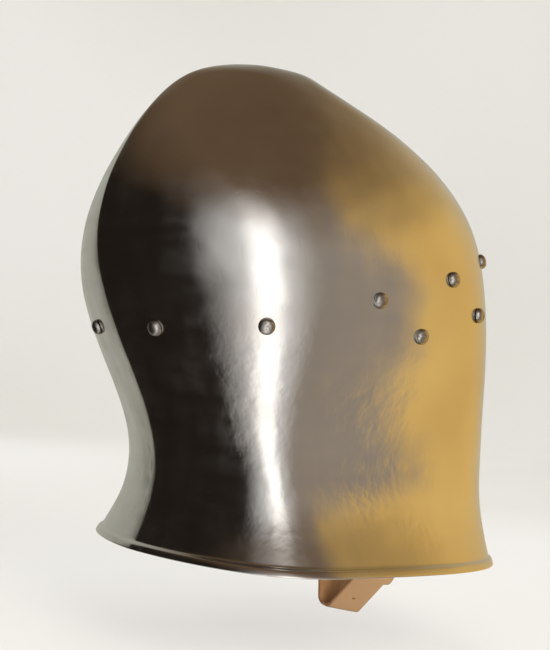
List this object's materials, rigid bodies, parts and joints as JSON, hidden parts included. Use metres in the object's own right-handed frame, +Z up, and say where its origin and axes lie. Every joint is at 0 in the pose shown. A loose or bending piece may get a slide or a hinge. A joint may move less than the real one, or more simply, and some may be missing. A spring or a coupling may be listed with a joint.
{
  "type": "barbute helmet",
  "caption": "One-piece steel helmet with a keeled skull, T-shaped face opening and flared rim, riveted padded lining and a swinging chin strap with a buckle.",
  "frame": {"origin": "the seat of the wearer's crown inside the lining, under the top of the skull", "axes": "+Z up through the crown, the face opening towards -Y, the wearer's right side at -X"},
  "size_m": [0.2354, 0.2765, 0.3398],
  "materials": {
    "steel": "satin hand-polished plate",
    "rivet_steel": "hammered domed heads, slightly darker than the plate",
    "iron": "forged, dull",
    "leather": "vegetable-tanned, matt",
    "lining_leather": "thin lining leather, matt",
    "canvas": "unbleached linen canvas",
    "cord": "twisted linen cord"
  },
  "bodies": {
    "helmet": {"skull_shell": "steel", "lining_rivet_1": "rivet_steel", "lining_rivet_2": "rivet_steel", "lining_rivet_3": "rivet_steel", "lining_rivet_4": "rivet_steel", "lining_rivet_5": "rivet_steel", "lining_rivet_6": "rivet_steel", "lining_rivet_7": "rivet_steel", "lining_rivet_8": "rivet_steel", "lining_rivet_9": "rivet_steel", "lining_rivet_10": "rivet_steel", "lining_rivet_11": "rivet_steel", "strap_rivet_1": "rivet_steel", "strap_rivet_2": "rivet_steel", "strap_rivet_3": "rivet_steel", "strap_rivet_4": "rivet_steel", "strap_pivot_right": "rivet_steel", "strap_pivot_left": "rivet_steel", "lining_rivet_1_washer": "iron", "lining_rivet_2_washer": "iron", "lining_rivet_3_washer": "iron", "lining_rivet_4_washer": "iron", "lining_rivet_5_washer": "iron", "lining_rivet_6_washer": "iron", "lining_rivet_7_washer": "iron", "lining_rivet_8_washer": "iron", "lining_rivet_9_washer": "iron", "lining_rivet_10_washer": "iron", "lining_rivet_11_washer": "iron", "strap_rivet_1_washer": "iron", "strap_rivet_2_washer": "iron", "strap_rivet_3_washer": "iron", "strap_rivet_4_washer": "iron", "strap_pivot_right_washer": "iron", "strap_pivot_left_washer": "iron", "lining_band": "lining_leather", "lining_leaf_1": "canvas", "lining_leaf_2": "canvas", "lining_leaf_3": "canvas", "lining_leaf_4": "canvas", "lining_leaf_5": "canvas", "lining_leaf_6": "canvas", "lining_leaf_7": "canvas", "lining_leaf_8": "canvas", "crown_lace": "cord", "strap_hanger_right": "leather", "strap_hanger_left": "leather"},
    "chin_strap": {"chin_strap_left": "leather", "chin_strap_right": "leather", "strap_keeper": "leather"},
    "buckle": {"buckle_frame": "iron"},
    "tongue": {"buckle_tongue": "iron"}
  },
  "joints": [
    {"name": "chin_strap_swing", "type": "hinge", "parent": "helmet", "child": "chin_strap", "pos_m": [0, -0.09161, -0.191], "axis": [1, 0, 0], "range_deg": [-30, 75]},
    {"name": "buckle_tilt", "type": "hinge", "parent": "chin_strap", "child": "buckle", "pos_m": [-0.05043, -0.09161, -0.26399], "axis": [0, -1, 0], "range_deg": [0, 8]},
    {"name": "tongue_lift", "type": "hinge", "parent": "buckle", "child": "tongue", "pos_m": [-0.05043, -0.09161, -0.26399], "axis": [0, -1, 0], "range_deg": [0, 8]}
  ]
}
